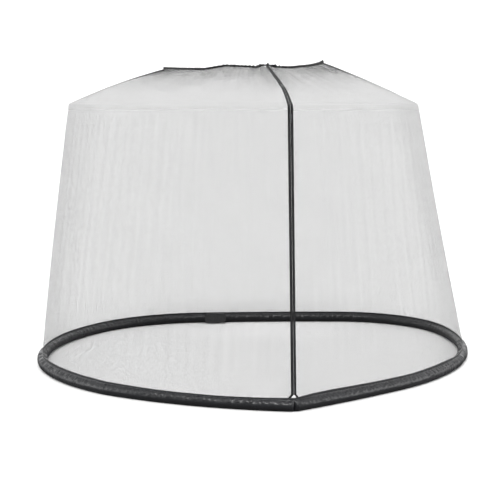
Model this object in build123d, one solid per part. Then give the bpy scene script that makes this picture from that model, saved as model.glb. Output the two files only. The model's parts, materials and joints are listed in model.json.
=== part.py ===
# Round zip-front mosquito net for a parasol: a netting roof that gathers round the parasol's
# pole, a flared netting wall, and a water-filled tube in a fabric sleeve that holds it down.
# Millimetres, +Z up. The origin is on the ground under the middle of the base ring's box,
# and the zip that opens the net is at the front, towards -Y.
from build123d import *
import math
import os

# ---- driving dimensions ---------------------------------------------------------------------
NET_AXIS = (-102.9, 21.3)       # the upright line that the roof and its rim are round
SHOULDER_RADIUS = 1333.0        # where the roof meets the wall, over the parasol's rib ends
SHOULDER_Z = 1992.0
RIM_RADIUS = 608.0              # the drawstring hem round the open top
HEM_Z = (2264.0, 2286.0)
NET_THICKNESS = 1.5
WALL_ROWS = 6                   # the wall's panels twist a little, so they are made in rows
STRIP_ROW = 75.0                # and so are the zip's long strips: the height of one row at most

SLEEVE_WIDTH = 72.0             # the base sleeve: a round pocket below a flat sewn seam
POCKET_HEIGHT = 74.0
SLEEVE_HEIGHT = 90.0
SLEEVE_FABRIC = 1.0
FLAT_WIDTH = 30.0               # the strip of the sleeve that lies on the ground
SEAM_THICKNESS = 3.0
TUBE_RADIUS = 32.0              # the water tube inside the sleeve
TUBE_WALL = 1.5
TUBE_Z = 35.0
TUBE_END_GAP = 3.0

COIL_INNER, COIL_OUTER = 1.4, 3.6     # zip teeth, measured sideways from the zip's middle line
COIL_THICKNESS = 3.0
TAPE_HALF_WIDTH = 18.0
HEAD_HALF_WIDTH = 17.0          # the fixed head of the wall zip, a little narrower
RIM_TAPE_HALF_WIDTH = 10.0
TAPE_TOP_Z = 1855.0             # the doors' tapes end here, below the parked slider
DOOR_GAP = 4.0                  # below the shoulder and beside the hinge seams

CASING_THICKNESS = 7.0
CASING_FABRIC = 1.0
CASING_GAP = 30.0               # half the gap in the hem at the zip, where the cord lock sits
DRAWSTRING_RADIUS = 2.0

# The base ring in plan, clockwise seen from above. Its fixed part starts at the left door's
# hinge seam, and its arcs run into each other: name, radius, and turn in degrees. The two doors
# close the rest, each with one arc, and meet at the zip's foot in a blunt corner.
LEFT_HINGE = (-1054.0, -1213.2)
LEFT_HEADING = 140.8
FIXED_RING = [
    ("side_left", 1669.0, 51.6),
    ("rear_left", 1850.0, 34.4),
    ("corner_left", 1186.0, 49.0),
    ("rear", 10445.0, 6.8),
    ("corner_right", 885.0, 74.2),
    ("rear_right", 2131.0, 32.1),
    ("side_right", 2131.0, 32.1),
]
ZIP_FOOT = (226.0, -1695.8)
LEFT_DOOR_RADIUS = 2820.0
RIGHT_DOOR_RADIUS = 8340.0
DOORS = ("door_left", "door_right")

# The zip's middle line over the roof, from the rim down to the shoulder, as plan points.
ZIP_RIM = (72.7, -561.5)
ZIP_KNEE = (174.0, -961.7)
ZIP_SHOULDER = (209.6, -1274.1)

PARTS = {}


def polar(point, centre=NET_AXIS):
    """Distance and direction (radians) of a plan point from a centre."""
    dx, dy = point[0] - centre[0], point[1] - centre[1]
    return math.hypot(dx, dy), math.atan2(dy, dx)


def on_circle(centre, radius, angle):
    return (centre[0] + radius * math.cos(angle), centre[1] + radius * math.sin(angle))


def arc_between(start, end, radius):
    """Centre and the two end angles of a clockwise arc that bulges away from the net's axis."""
    mid = ((start[0] + end[0]) / 2, (start[1] + end[1]) / 2)
    chord = math.hypot(end[0] - start[0], end[1] - start[1])
    unit = ((end[0] - start[0]) / chord, (end[1] - start[1]) / chord)
    depth = math.sqrt(radius**2 - chord**2 / 4)
    centre = (mid[0] + unit[1] * depth, mid[1] - unit[0] * depth)
    first = math.atan2(start[1] - centre[1], start[0] - centre[0])
    last = first - 2 * math.asin(chord / 2 / radius)
    return centre, first, last


def roof_radius(z):
    """Radius of the conical roof at a height."""
    return SHOULDER_RADIUS - (z - SHOULDER_Z) / math.tan(ROOF_SLOPE)


ROOF_RISE = HEM_Z[0] - SHOULDER_Z
ROOF_SLOPE = math.atan2(ROOF_RISE, SHOULDER_RADIUS - RIM_RADIUS)
KNEE_Z = SHOULDER_Z + (SHOULDER_RADIUS - polar(ZIP_KNEE)[0]) * math.tan(ROOF_SLOPE)
RIM_ANGLE = polar(ZIP_RIM)[1]


def roof_zip_levels(width, rim_width):
    """Height, direction and half-width of the zip at the shoulder, its knee and the hem."""
    return [
        (SHOULDER_Z, ZIP_ANGLE, width),
        (KNEE_Z, polar(ZIP_KNEE)[1], width),
        (HEM_Z[0], RIM_ANGLE, rim_width),
    ]


def ring_stretches():
    """Each stretch of the ring as the centre, radius and two end angles of its arc."""
    stretches = {}
    point, heading = LEFT_HINGE, math.radians(LEFT_HEADING)
    for name, radius, turn in FIXED_RING:
        centre = on_circle(point, radius, heading - math.pi / 2)
        first = heading + math.pi / 2
        last = first - math.radians(turn)
        stretches[name] = (centre, radius, first, last)
        point, heading = on_circle(centre, radius, last), heading - math.radians(turn)
    for name, start, end, radius in (
        ("door_left", ZIP_FOOT, LEFT_HINGE, LEFT_DOOR_RADIUS),
        ("door_right", point, ZIP_FOOT, RIGHT_DOOR_RADIUS),
    ):
        centre, first, last = arc_between(start, end, radius)
        stretches[name] = (centre, radius, first, last)
    return stretches


STRETCHES = ring_stretches()
ZIP_ANGLE = polar(ZIP_SHOULDER)[1]


def ring_point(name, end):
    """Where a stretch starts (end 0) or ends (end 1), in plan."""
    centre, radius, *angles = STRETCHES[name]
    return on_circle(centre, radius, angles[end])


RIGHT_HINGE = ring_point("door_right", 0)


def shoulder_angles(name):
    """Directions from the net's axis of a wall panel's two upper corners, going clockwise."""
    first, last = [polar(ring_point(name, end))[1] for end in (0, 1)]
    if name == "door_left":
        first = ZIP_ANGLE
    if name == "door_right":
        last = ZIP_ANGLE
    return first, last if last < first else last - 2 * math.pi


def ribbon(outer, inner, z):
    """A thin level face between two arcs, each given by its first, middle and last plan point."""
    outline = [
        ThreePointArc(*outer), Line(outer[2], inner[2]),
        ThreePointArc(*inner[::-1]), Line(inner[0], outer[0]),
    ]
    return Pos(0, 0, z) * make_face(Wire(Curve() + outline))


def arc_points(centre, radius, first, last):
    return [on_circle(centre, radius, angle) for angle in (first, (first + last) / 2, last)]


def between(low, high, share):
    """The plan points that share of the way from the low ones to the high ones."""
    return [tuple(a + share * (b - a) for a, b in zip(p, q)) for p, q in zip(low, high)]


def plate(corners, z):
    """A level face with straight sides."""
    return Pos(0, 0, z) * make_face(Polyline(*corners, close=True))


# ---- netting --------------------------------------------------------------------------------
def wall_panel(name):
    """One panel of the wall: a thin ruled sheet from the base sleeve up to the shoulder."""
    centre, radius, first, last = STRETCHES[name]
    top_first, top_last = shoulder_angles(name)
    if name in DOORS:
        trims = (TAPE_HALF_WIDTH, DOOR_GAP) if name == "door_left" else (DOOR_GAP, TAPE_HALF_WIDTH)
        first, last = first - trims[0] / radius, last + trims[1] / radius
        top_first -= trims[0] / SHOULDER_RADIUS
        top_last += trims[1] / SHOULDER_RADIUS
    half, rows = NET_THICKNESS / 2, []
    height = (SHOULDER_Z - DOOR_GAP if name in DOORS else SHOULDER_Z) - SLEEVE_HEIGHT
    for level in range(WALL_ROWS + 1):
        share = level / WALL_ROWS * height / (SHOULDER_Z - SLEEVE_HEIGHT)
        edges = []
        for depth in (half, -half):
            foot = arc_points(centre, radius + depth, first, last)
            top = arc_points(NET_AXIS, SHOULDER_RADIUS + depth, top_first, top_last)
            edges.append(between(foot, top, share))
        rows.append(ribbon(*edges, SLEEVE_HEIGHT + level / WALL_ROWS * height))
    return loft(rows, ruled=True)


def roof_gore(name):
    """One gore of the roof: a thin conical sheet from the shoulder up to the drawstring hem."""
    first, last = shoulder_angles(name)
    half = NET_THICKNESS / 2 / math.sin(ROOF_SLOPE)
    levels = roof_zip_levels(TAPE_HALF_WIDTH, RIM_TAPE_HALF_WIDTH)
    faces = []
    for z, zip_angle, tape in levels if name in DOORS else levels[::2]:
        radius = roof_radius(z)
        start, end = first, last
        if name == "door_left":
            start = zip_angle - tape / radius
        if name == "door_right":
            end = zip_angle + tape / radius
        edges = [arc_points(NET_AXIS, reach, start, end) for reach in (radius + half, radius - half)]
        faces.append(ribbon(*edges, z))
    return loft(faces, ruled=True)


# ---- base sleeve and water tube -------------------------------------------------------------
def sleeve_profile(radius, inset):
    """Section of the sleeve in the XZ plane: a pocket with a flat foot and a sewn seam on top."""
    side, low, high = SLEEVE_WIDTH / 2 - inset, inset, POCKET_HEIGHT - inset
    foot = FLAT_WIDTH / 2 - inset / 2
    belly = POCKET_HEIGHT * 0.47
    neck = SEAM_THICKNESS / 2 if inset == 0 else 0.4
    halves = []
    for sign in (1, -1):
        halves.append([
            (radius + sign * foot, 0, low),
            (radius + sign * (foot + side) * 0.59, 0, low + (belly - low) * 0.33),
            (radius + sign * side, 0, belly),
            (radius + sign * side * 0.72, 0, belly + (high - belly) * 0.72),
            (radius + sign * neck, 0, high),
        ])
    right, left = halves
    outline = [Line(left[0], right[0]), ThreePointArc(*right[0:3]), ThreePointArc(*right[2:5])]
    if inset == 0:
        corners = [(radius + neck, 0, SLEEVE_HEIGHT), (radius - neck, 0, SLEEVE_HEIGHT)]
        outline += [Line(right[4], corners[0]), Line(*corners), Line(corners[1], left[4])]
    else:
        outline.append(Line(right[4], left[4]))
    outline += [ThreePointArc(*left[4:1:-1]), ThreePointArc(*left[2::-1])]
    return make_face(Wire(Curve() + outline))


def turned(face, centre, first, last):
    """A section drawn over +X and turned about an upright axis, clockwise from first to last."""
    turn = math.degrees(first - last)
    solid = revolve(face, Axis.Z, revolution_arc=turn)
    return Pos(*centre) * Rot(0, 0, math.degrees(last)) * solid


def end_trims(name):
    """How much shorter a sleeve is than its stretch, at its first and last end."""
    at_zip = SLEEVE_WIDTH / 2 * 0.4
    at_hinge = SLEEVE_WIDTH / 2 * 0.7
    return {
        "door_left": (at_zip, at_hinge),
        "door_right": (at_hinge, at_zip),
    }.get(name, (0.0, 0.0))


def sleeve(name):
    centre, radius, first, last = STRETCHES[name]
    trims = end_trims(name)
    first, last = first - trims[0] / radius, last + trims[1] / radius
    shell = turned(sleeve_profile(radius, 0), centre, first, last)
    closed_first = name in DOORS or name == "side_left"
    closed_last = name in DOORS or name == "side_right"
    first -= SLEEVE_FABRIC / radius * closed_first
    last += SLEEVE_FABRIC / radius * closed_last
    return shell - turned(sleeve_profile(radius, SLEEVE_FABRIC), centre, first, last)


def tube_run(name, radius, end_wall):
    """The round body of a tube along one stretch; its free ends stop inside the sleeve."""
    centre, ring_radius, first, last = STRETCHES[name]
    trims = end_trims(name)
    if name in DOORS or name == "side_left":
        first -= (trims[0] + TUBE_END_GAP + end_wall) / ring_radius
    if name in DOORS or name == "side_right":
        last += (trims[1] + TUBE_END_GAP + end_wall) / ring_radius
    section = Pos(ring_radius, 0, TUBE_Z) * Rot(90, 0, 0) * Circle(radius)
    return turned(section, centre, first, last)


def water_tube(names):
    """A welded plastic tube with closed ends, hollow for the water."""
    outside = [tube_run(name, TUBE_RADIUS, 0.0) for name in names]
    inside = [tube_run(name, TUBE_RADIUS - TUBE_WALL, TUBE_WALL) for name in names]
    return Part() + outside - inside


# ---- zip ------------------------------------------------------------------------------------
SIDES = {"left": ("door_left", -1), "right": ("door_right", 1)}


def foot_corner(side, offset, depth):
    """A plan point beside the zip's foot: sideways along the ring, and outward."""
    name, sign = SIDES[side]
    centre, radius, first, last = STRETCHES[name]
    angle = (first if side == "left" else last) + sign * offset / radius
    return on_circle(centre, radius + depth, angle)


def top_corner(offset, depth, sign):
    return on_circle(NET_AXIS, SHOULDER_RADIUS + depth, ZIP_ANGLE + sign * offset / SHOULDER_RADIUS)


def wall_strip(side, near, far, thickness, low_z, high_z):
    """A narrow strip that lies in the wall beside the zip's middle line, between two heights."""
    sign = SIDES[side][1]
    outline = [(near, thickness / 2), (far, thickness / 2), (far, -thickness / 2), (near, -thickness / 2)]
    foot = [foot_corner(side, offset, depth) for offset, depth in outline]
    top = [top_corner(offset, depth, sign) for offset, depth in outline]
    rows, faces = math.ceil((high_z - low_z) / STRIP_ROW), []
    for level in range(rows + 1):
        z = low_z + level / rows * (high_z - low_z)
        faces.append(plate(between(foot, top, (z - SLEEVE_HEIGHT) / (SHOULDER_Z - SLEEVE_HEIGHT)), z))
    return loft(faces, ruled=True)


def roof_strip(side, near, far, rim_far, thickness):
    """The same over the roof, from the shoulder over the knee to the hem."""
    sign = SIDES[side][1]
    half = thickness / 2 / math.sin(ROOF_SLOPE)
    faces = []
    for z, angle, width in roof_zip_levels(far, rim_far):
        radius = roof_radius(z)
        corners = []
        for offset, depth in ((near, half), (width, half), (width, -half), (near, -half)):
            corners.append(on_circle(NET_AXIS, radius + depth, angle + sign * offset / radius))
        faces.append(plate(corners, z))
    return loft(faces, ruled=True)


# A slider is drawn at the origin: its travel along Z, its front towards -Y, its pull hanging.
SLIDER_LENGTH = 30.0
SLIDER_WIDTH = 14.0
SLIDER_PLATE = 1.6
SLIDER_FRONT = 2.2              # clear depth in front of the tape's middle, and behind it
SLIDER_BACK = 4.6
POST_THICKNESS = 1.0            # the post passes between the two rows of teeth
PULL_LENGTH = 38.0
PULL_WIDTH = 9.0
PULL_THICKNESS = 1.6
BAR_RADIUS = 1.0
BAR_Y = -(SLIDER_FRONT + SLIDER_PLATE + 1.8)
BAR_Z = -6.0
BRIDGE_Y = BAR_Y - 2.5          # the loop that holds the pull's bar
BRIDGE_SECTION = (5.0, 1.4)
BRIDGE_LEG = 2.4
BRIDGE_Z = (BAR_Z - 5.7, BAR_Z + 8.2)


def slider_body():
    front = Pos(0, -(SLIDER_FRONT + SLIDER_PLATE / 2), 0) * Box(SLIDER_WIDTH, SLIDER_PLATE, SLIDER_LENGTH)
    back = Pos(0, SLIDER_BACK + SLIDER_PLATE / 2, 0) * Box(SLIDER_WIDTH, SLIDER_PLATE, SLIDER_LENGTH)
    front = fillet(front.edges().filter_by(Axis.Y), 4.0)
    back = fillet(back.edges().filter_by(Axis.Y), 4.0)
    depth = SLIDER_FRONT + SLIDER_BACK + SLIDER_PLATE
    post = Pos(0, (SLIDER_BACK - SLIDER_FRONT) / 2, 8.0) * Box(POST_THICKNESS, depth, 8.0)
    body = front + back + post
    width, thickness = BRIDGE_SECTION
    low, high = BRIDGE_Z
    reach = -SLIDER_FRONT - BRIDGE_Y
    for z in (low + BRIDGE_LEG / 2, high - BRIDGE_LEG / 2):
        body += Pos(0, -SLIDER_FRONT - reach / 2, z) * Box(width, reach, BRIDGE_LEG)
    return body + Pos(0, BRIDGE_Y, (low + high) / 2) * Box(width, thickness, high - low)


def slider_pull():
    """A flat tab with an eye round the slider's bridge."""
    tab = Pos(0, BAR_Y, BAR_Z - PULL_LENGTH / 2) * Box(PULL_WIDTH, PULL_THICKNESS, PULL_LENGTH)
    tab = fillet(tab.edges().filter_by(Axis.Y), 3.5)
    window = Pos(0, BAR_Y, BAR_Z - 5.1) * Box(5.8, 2 * PULL_THICKNESS, 7.8)
    grip = Pos(0, BAR_Y, BAR_Z - 25.0) * Box(PULL_WIDTH - 4.0, 2 * PULL_THICKNESS, 12.0)
    bar = Pos(0, BAR_Y, BAR_Z) * Rot(0, 90, 0) * Cylinder(BAR_RADIUS, PULL_WIDTH)
    return tab - window - fillet(grip.edges().filter_by(Axis.Y), 2.0) + bar


def wall_slider_place(z):
    """Where the wall slider stands at a height: on the zip's line, facing straight out."""
    share = (z - SLEEVE_HEIGHT) / (SHOULDER_Z - SLEEVE_HEIGHT)
    shoulder = top_corner(0, 0, 1)
    point = [f + share * (s - f) for f, s in zip(ZIP_FOOT, shoulder)]
    upward = Vector(shoulder[0] - ZIP_FOOT[0], shoulder[1] - ZIP_FOOT[1], SHOULDER_Z - SLEEVE_HEIGHT)
    outward = Vector(math.cos(ZIP_ANGLE), math.sin(ZIP_ANGLE), 0)
    across = upward.cross(outward).normalized()
    return Plane(origin=(*point, z), x_dir=across, z_dir=upward.normalized())


def roof_slider_place(distance):
    """The same on the roof, a distance up the zip from its knee."""
    knee = Vector(*ZIP_KNEE, KNEE_Z)
    upward = (Vector(*ZIP_RIM, HEM_Z[0]) - knee).normalized()
    angle = polar(ZIP_KNEE)[1]
    outward = Vector(-math.sin(angle), math.cos(angle), 0).cross(upward)
    across = upward.cross(outward).normalized()
    return Plane(origin=knee + upward * distance, x_dir=across, z_dir=upward)


WALL_SLIDER_Z = 1922.0
ROOF_SLIDER_UP = 45.0


def zip_box(side, low_z, high_z, width, thickness):
    """A moulded end piece on one tape's teeth, clear of the other tape."""
    return wall_strip(side, COIL_INNER, width, thickness, low_z, high_z)


# ---- drawstring hem and cord lock -----------------------------------------------------------
CORD_Z = sum(HEM_Z) / 2
LOCK_RADIUS = 9.0
LOCK_HEIGHT = 20.0
LOCK_BASE_Z = CORD_Z - 10.0
CHAMBER_RADIUS = 6.0
BUTTON_RADIUS = 5.7
BUTTON_TRAVEL = 4.0
CORD_HOLE = 2.6


def hem_casing():
    """The folded hem that the drawstring runs in, open at the zip."""
    height = HEM_Z[1] - HEM_Z[0]
    middle = Pos(RIM_RADIUS, 0, CORD_Z) * Rot(90, 0, 0)
    outside = middle * RectangleRounded(CASING_THICKNESS, height, 2.0)
    inside = middle * RectangleRounded(CASING_THICKNESS - 2 * CASING_FABRIC, height - 2 * CASING_FABRIC, 1.0)
    gap = CASING_GAP / RIM_RADIUS
    turn = (NET_AXIS, RIM_ANGLE - gap, RIM_ANGLE + gap - 2 * math.pi)
    return turned(outside, *turn) - turned(inside, *turn)


def drawstring():
    middle = Pos(RIM_RADIUS, 0, CORD_Z) * Rot(90, 0, 0)
    return Pos(*NET_AXIS) * revolve(middle * Circle(DRAWSTRING_RADIUS), Axis.Z)


def lock_place():
    return Pos(*on_circle(NET_AXIS, RIM_RADIUS, RIM_ANGLE), 0) * Rot(0, 0, math.degrees(RIM_ANGLE) + 90)


def upright(radius, low, high):
    return Pos(0, 0, (low + high) / 2) * Cylinder(radius, high - low)


def cord_hole(radius):
    return Pos(0, 0, CORD_Z) * Rot(0, 90, 0) * Cylinder(radius, 4 * LOCK_RADIUS)


CHAMBER_FLOOR_Z = LOCK_BASE_Z + 1.5
LOCK_TOP_Z = LOCK_BASE_Z + LOCK_HEIGHT
BUTTON_LOW_Z = CHAMBER_FLOOR_Z + BUTTON_TRAVEL + 0.5


def cord_lock_barrel():
    barrel = upright(LOCK_RADIUS, LOCK_BASE_Z, LOCK_TOP_Z)
    barrel = fillet(barrel.edges().filter_by(GeomType.CIRCLE), 1.2)
    barrel -= upright(CHAMBER_RADIUS, CHAMBER_FLOOR_Z, LOCK_TOP_Z + 1)
    return lock_place() * (barrel - cord_hole(CORD_HOLE))


def cord_lock_button():
    """The sprung plunger, with a slot that lets it sink past the cord."""
    button = upright(BUTTON_RADIUS, BUTTON_LOW_Z, LOCK_TOP_Z + BUTTON_TRAVEL + 1.5)
    button = fillet(button.edges().sort_by(Axis.Z)[-1], 1.0)
    slot_height = 2 * CORD_HOLE + BUTTON_TRAVEL
    slot = Pos(0, 0, CORD_Z + BUTTON_TRAVEL / 2) * Box(4 * BUTTON_RADIUS, 2 * CORD_HOLE, slot_height)
    return lock_place() * (button - slot)


def cord_lock_spring():
    """The spring under the plunger, as the ring of space that its coil fills."""
    ring = upright(4.6, CHAMBER_FLOOR_Z, BUTTON_LOW_Z) - upright(3.2, CHAMBER_FLOOR_Z, BUTTON_LOW_Z)
    return lock_place() * ring


def drawstring_knot():
    """The knot that joins the drawstring's two ends, beside the cord lock."""
    angle = RIM_ANGLE + 19.0 / RIM_RADIUS
    knot = Rot(0, 90, 0) * Cylinder(5.0, 8.0)
    knot = fillet(knot.edges().filter_by(GeomType.CIRCLE), 2.5)
    knot -= Rot(0, 90, 0) * Cylinder(DRAWSTRING_RADIUS, 20.0)
    place = Pos(*on_circle(NET_AXIS, RIM_RADIUS, angle), CORD_Z)
    return place * Rot(0, 0, math.degrees(angle) + 90) * knot


# ---- filler valve and its flap, inside the ring at the back ---------------------------------
VALVE_ANGLE = STRETCHES["rear"][2] - 125.0 / STRETCHES["rear"][1]
VALVE_Z = 34.0
NECK_RADIUS = 8.0
NECK_BORE = 5.0
CAP_RADIUS = 13.0
CAP_LENGTH = 12.0
CAP_GAP = 0.4
FLAP_SIZE = (190.0, 80.0)
FLAP_THICKNESS = 2.0
FLAP_TOP_Z = 79.0
FLAP_TILT = 33.0                # it leans over the cap, with its foot further into the net


def valve_place():
    """A frame on the rear sleeve whose Y axis points into the net."""
    centre, radius, first, last = STRETCHES["rear"]
    point = on_circle(centre, radius, VALVE_ANGLE)
    return Pos(*point, VALVE_Z) * Rot(0, 0, math.degrees(VALVE_ANGLE) + 90)


def along_y(radius, low, high):
    return Pos(0, (low + high) / 2, 0) * Rot(90, 0, 0) * Cylinder(radius, high - low)


NECK_START = TUBE_RADIUS - 2.0
FLANGE = (SLEEVE_WIDTH / 2 + 1.0, SLEEVE_WIDTH / 2 + 2.4)
CAP_START = FLANGE[1] + 0.8
CAP_END = CAP_START + CAP_LENGTH
NECK_END = CAP_END - 3.0
CAP_GROOVES = 18
FLAP_Y = CAP_END + 2.6          # the middle of the flap's thickness
TAB_GAP = 1.8


def filler_valve():
    neck = along_y(NECK_RADIUS, NECK_START, NECK_END) + along_y(NECK_RADIUS + 4.0, *FLANGE)
    return valve_place() * (neck - along_y(NECK_BORE, NECK_START - 1, NECK_END + 1))


def valve_cap():
    cap = along_y(CAP_RADIUS, CAP_START, CAP_END)
    cap = chamfer(cap.edges().sort_by(Axis.Y)[-1], 1.5)
    groove = Pos(0, 0, CAP_RADIUS + 0.6) * along_y(1.2, 0, 2 * CAP_END)
    for index in range(CAP_GROOVES):
        cap -= Rot(0, index * 360 / CAP_GROOVES, 0) * groove
    return valve_place() * (cap - along_y(NECK_RADIUS + CAP_GAP, 0, NECK_END + CAP_GAP))


def valve_flap():
    """A fabric flap that slopes down over the cap from below the sleeve's seam."""
    width, height = FLAP_SIZE
    flap = Pos(0, 0, -height / 2) * Box(width, FLAP_THICKNESS, height)
    flap = Rot(FLAP_TILT, 0, 0) * fillet(flap.edges().filter_by(Axis.Y), 12.0)
    return valve_place() * Pos(0, FLAP_Y, FLAP_TOP_Z - VALVE_Z) * flap


def flap_tab():
    """The strip on the sleeve's seam that the flap hangs from."""
    centre, radius, first, last = STRETCHES["rear"]
    outer, inner = radius - SEAM_THICKNESS / 2, radius - FLAP_Y
    section = Pos((outer + inner) / 2, 0, FLAP_TOP_Z + TAB_GAP + FLAP_THICKNESS / 2)
    section = section * Rot(90, 0, 0) * Rectangle(outer - inner, FLAP_THICKNESS)
    half_turn = (FLAP_SIZE[0] - 30.0) / 2 / radius
    return turned(section, centre, VALVE_ANGLE + half_turn, VALVE_ANGLE - half_turn)


# ---- build ----------------------------------------------------------------------------------
for stretch in STRETCHES:
    PARTS["wall_net_" + stretch] = wall_panel(stretch)
    PARTS["roof_net_" + stretch.replace("door", "front")] = roof_gore(stretch)
    PARTS["sleeve_" + stretch] = sleeve(stretch)
for door in DOORS:
    PARTS["water_tube_" + door] = water_tube([door])
PARTS["water_tube_ring"] = water_tube([name for name, *_ in FIXED_RING])
neck_hole = valve_place() * along_y(NECK_RADIUS, NECK_START, SLEEVE_WIDTH)
PARTS["sleeve_rear"] -= neck_hole
PARTS["water_tube_ring"] -= neck_hole

TAPE_FOOT_Z = SLEEVE_HEIGHT + 1.0
END_PIECE = (TAPE_FOOT_Z + 18.0, TAPE_FOOT_Z + 36.0)
TEETH_FOOT_Z = END_PIECE[1] + 1.0
for side in SIDES:
    tape = (COIL_OUTER, TAPE_HALF_WIDTH, NET_THICKNESS)
    PARTS["wall_tape_" + side] = wall_strip(side, *tape, TAPE_FOOT_Z, TAPE_TOP_Z)
    PARTS["wall_teeth_" + side] = wall_strip(
        side, COIL_INNER, COIL_OUTER, COIL_THICKNESS, TEETH_FOOT_Z, TAPE_TOP_Z)
    PARTS["zip_head_tape_" + side] = wall_strip(
        side, COIL_OUTER, HEAD_HALF_WIDTH, NET_THICKNESS, TAPE_TOP_Z + 2.0, SHOULDER_Z)
    PARTS["roof_tape_" + side] = roof_strip(
        side, COIL_OUTER, TAPE_HALF_WIDTH, RIM_TAPE_HALF_WIDTH, NET_THICKNESS)
    PARTS["roof_teeth_" + side] = roof_strip(side, COIL_INNER, COIL_OUTER, COIL_OUTER, COIL_THICKNESS)
PARTS["zip_end_box"] = zip_box("left", *END_PIECE, 8.0, 4.4) - PARTS["wall_tape_left"]
PARTS["zip_end_pin"] = zip_box("right", *END_PIECE, COIL_OUTER, 2.4)

for node, place in (
    ("wall_slider", wall_slider_place(WALL_SLIDER_Z)),
    ("roof_slider", roof_slider_place(ROOF_SLIDER_UP)),
):
    PARTS[node] = place.location * slider_body()
    PARTS[node + "_pull"] = place.location * slider_pull()

PARTS["hem_casing"] = hem_casing()
PARTS["drawstring"] = drawstring()
PARTS["drawstring_knot"] = drawstring_knot()
PARTS["cord_lock_barrel"] = cord_lock_barrel()
PARTS["cord_lock_button"] = cord_lock_button()
PARTS["cord_lock_spring"] = cord_lock_spring()

PARTS["filler_valve"] = filler_valve()
PARTS["valve_cap"] = valve_cap()
PARTS["valve_flap"] = valve_flap()
PARTS["valve_flap_tab"] = flap_tab()

os.makedirs("parts", exist_ok=True)
for node, solid in PARTS.items():
    export_step(solid, "parts/" + node + ".step")
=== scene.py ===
# The looks of the parasol mosquito net: netting, sleeve, zip and fittings, built in metres
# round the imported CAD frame. Sizes are read from the frame's nodes where they exist there.
import json
import math

import bmesh
import bpy
import numpy as np
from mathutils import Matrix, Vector, noise


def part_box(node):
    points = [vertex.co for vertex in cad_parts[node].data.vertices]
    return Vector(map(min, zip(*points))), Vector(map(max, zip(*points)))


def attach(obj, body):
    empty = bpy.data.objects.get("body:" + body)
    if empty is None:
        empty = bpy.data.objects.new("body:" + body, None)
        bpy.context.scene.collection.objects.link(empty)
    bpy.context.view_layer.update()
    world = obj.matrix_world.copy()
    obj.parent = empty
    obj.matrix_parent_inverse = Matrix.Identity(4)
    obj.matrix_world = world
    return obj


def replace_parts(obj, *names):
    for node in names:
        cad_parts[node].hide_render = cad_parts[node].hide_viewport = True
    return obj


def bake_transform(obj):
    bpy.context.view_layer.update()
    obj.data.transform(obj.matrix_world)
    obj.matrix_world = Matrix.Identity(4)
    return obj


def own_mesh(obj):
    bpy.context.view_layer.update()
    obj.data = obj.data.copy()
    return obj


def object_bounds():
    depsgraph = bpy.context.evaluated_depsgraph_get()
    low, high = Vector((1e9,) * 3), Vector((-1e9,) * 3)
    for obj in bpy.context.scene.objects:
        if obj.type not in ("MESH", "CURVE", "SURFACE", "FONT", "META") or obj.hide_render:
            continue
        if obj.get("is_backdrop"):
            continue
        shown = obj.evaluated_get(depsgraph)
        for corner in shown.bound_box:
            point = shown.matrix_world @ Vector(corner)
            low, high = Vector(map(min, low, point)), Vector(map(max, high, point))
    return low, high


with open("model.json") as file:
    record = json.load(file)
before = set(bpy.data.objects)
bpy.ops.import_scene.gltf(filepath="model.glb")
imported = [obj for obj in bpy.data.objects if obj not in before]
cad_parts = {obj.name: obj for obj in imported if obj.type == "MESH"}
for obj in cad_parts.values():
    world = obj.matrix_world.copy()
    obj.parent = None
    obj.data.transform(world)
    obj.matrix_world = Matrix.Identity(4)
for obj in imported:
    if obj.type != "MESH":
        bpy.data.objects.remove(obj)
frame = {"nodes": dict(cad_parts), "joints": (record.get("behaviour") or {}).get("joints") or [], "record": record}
CAD_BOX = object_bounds()
NODES = frame["nodes"]
JOINTS = {joint["name"]: joint for joint in frame["joints"]}
MOUNTS = {mount["name"]: mount for mount in frame["record"]["mounts"]}

FIXED = ["side_left", "rear_left", "corner_left", "rear", "corner_right", "rear_right", "side_right"]
SIDES = {"left": -1, "right": 1}
FULL_TURN = 2 * math.pi


# ---- sizes that the frame gives ---------------------------------------------------------------
def vertices(name):
    mesh = NODES[name].data
    flat = np.empty(len(mesh.vertices) * 3)
    mesh.vertices.foreach_get("co", flat)
    return flat.reshape(-1, 3)


def plan_at(name, z):
    """The plan points of a node's vertices at one height."""
    points = vertices(name)
    return points[abs(points[:, 2] - z) < 2e-4, :2]


def direction(points, centre):
    return np.arctan2(points[..., 1] - centre[1], points[..., 0] - centre[0])


def around(centre, radius, angle):
    """Plan points on a circle; radius and angle may be arrays."""
    return np.stack([centre[0] + radius * np.cos(angle), centre[1] + radius * np.sin(angle)], -1)


def fitted_arc(points):
    """Centre, radius and the two end angles, clockwise, of the arc through plan points."""
    rows = np.c_[2 * points, np.ones(len(points))]
    x, y, rest = np.linalg.lstsq(rows, (points**2).sum(1), rcond=None)[0]
    centre = np.array((x, y))
    middle = direction(points.mean(0), centre)
    turn = (direction(points, centre) - middle + math.pi) % FULL_TURN - math.pi
    return centre, math.sqrt(rest + x * x + y * y), middle + turn.max(), middle + turn.min()


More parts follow.
